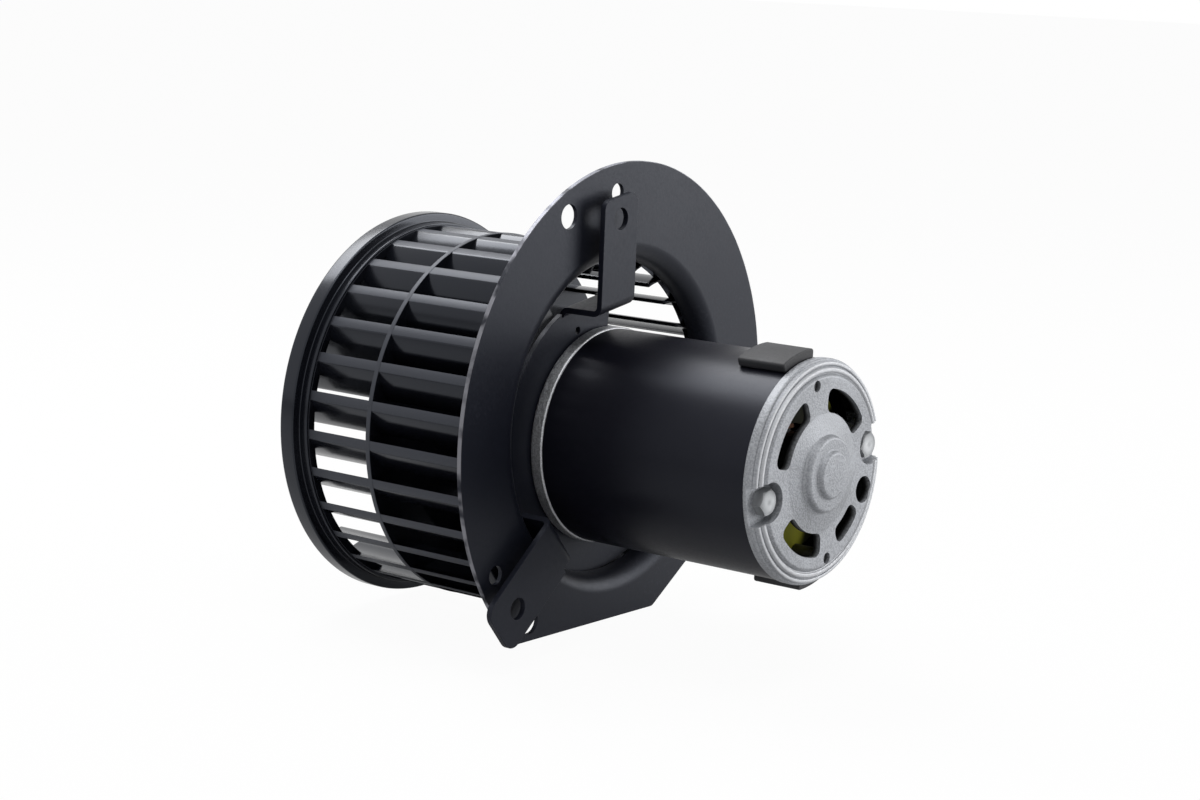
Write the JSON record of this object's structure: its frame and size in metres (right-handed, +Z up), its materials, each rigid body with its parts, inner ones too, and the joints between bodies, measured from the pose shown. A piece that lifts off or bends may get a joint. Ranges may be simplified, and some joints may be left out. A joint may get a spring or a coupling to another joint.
{
  "type": "blower motor",
  "caption": "Blower motor with a double squirrel-cage wheel, a round mounting plate with a flat foot, a bracket with bent arms and a drum-shaped motor with a vented end cap.",
  "frame": {"origin": "centre of the mounting plate's hole circle, on the plate's face towards the wheel", "axes": "+X along the motor shaft from the wheel to the end cap, +Z up, away from the plate's flat foot"},
  "size_m": [0.1857, 0.1718, 0.1662],
  "materials": {
    "wheel": "moulded charcoal plastic, satin",
    "black_paint": "satin black paint",
    "can_paint": "semi-gloss black paint",
    "cast_zinc": "cast, matt, bright on the ridges",
    "plated_steel": "zinc plated",
    "bare_steel": "ground",
    "pad_rubber": "matt",
    "bearing_bronze": "sintered, oiled",
    "felt": "oiled felt",
    "card_board": "punched laminate, yellow-green",
    "copper": "turned copper",
    "enamel_wire": "enamelled wire",
    "core_steel": "stamped sheets",
    "ferrite": "pressed ferrite",
    "insulator": "moulded",
    "carbon": "pressed graphite",
    "spring_steel": "spring strip",
    "weld": "painted over"
  },
  "bodies": {
    "stator": {"mounting_plate": "black_paint", "plate_welds": "weld", "motor_bracket": "black_paint", "front_end_bell": "cast_zinc", "motor_can": "can_paint", "rear_end_cap": "cast_zinc", "through_bolts": "plated_steel", "through_bolt_nuts": "plated_steel", "card_studs": "plated_steel", "rubber_pads": "pad_rubber", "magnet_1": "ferrite", "magnet_2": "ferrite", "magnet_clips": "spring_steel", "front_bearing": "bearing_bronze", "rear_bearing": "bearing_bronze", "front_retainer": "bare_steel", "rear_retainer": "bare_steel", "front_felt": "felt", "rear_felt": "felt", "brush_card": "card_board", "brush_holder_1": "copper", "brush_holder_2": "copper", "brush_spring_1": "spring_steel", "brush_spring_2": "spring_steel"},
    "rotor": {"wheel_open_ring": "wheel", "wheel_close_ring": "wheel", "wheel_blades": "wheel", "wheel_disc": "wheel", "hub_insert": "bare_steel", "hub_clip": "spring_steel", "shaft_clip": "spring_steel", "shaft": "bare_steel", "armature_core": "core_steel", "armature_windings": "enamel_wire", "commutator": "copper", "commutator_sleeve": "insulator", "front_spacer": "insulator", "thrust_washers": "insulator"},
    "brush_1": {"brush_1": "carbon"},
    "brush_2": {"brush_2": "carbon"}
  },
  "joints": [
    {"name": "rotor_spin", "type": "hinge", "parent": "stator", "child": "rotor", "pos_m": [0, 0, -0.0065], "axis": [1, 0, 0], "continuous": true},
    {"name": "brush_1_slide", "type": "slide", "parent": "stator", "child": "brush_1", "axis": [0, 0, 1], "range_m": [0, 0.004], "stiffness_N_per_m": 300, "springref_m": -0.008, "deforming": ["brush_spring_1"]},
    {"name": "brush_2_slide", "type": "slide", "parent": "stator", "child": "brush_2", "axis": [0, 0, -1], "range_m": [0, 0.004], "stiffness_N_per_m": 300, "springref_m": -0.008, "deforming": ["brush_spring_2"]}
  ]
}
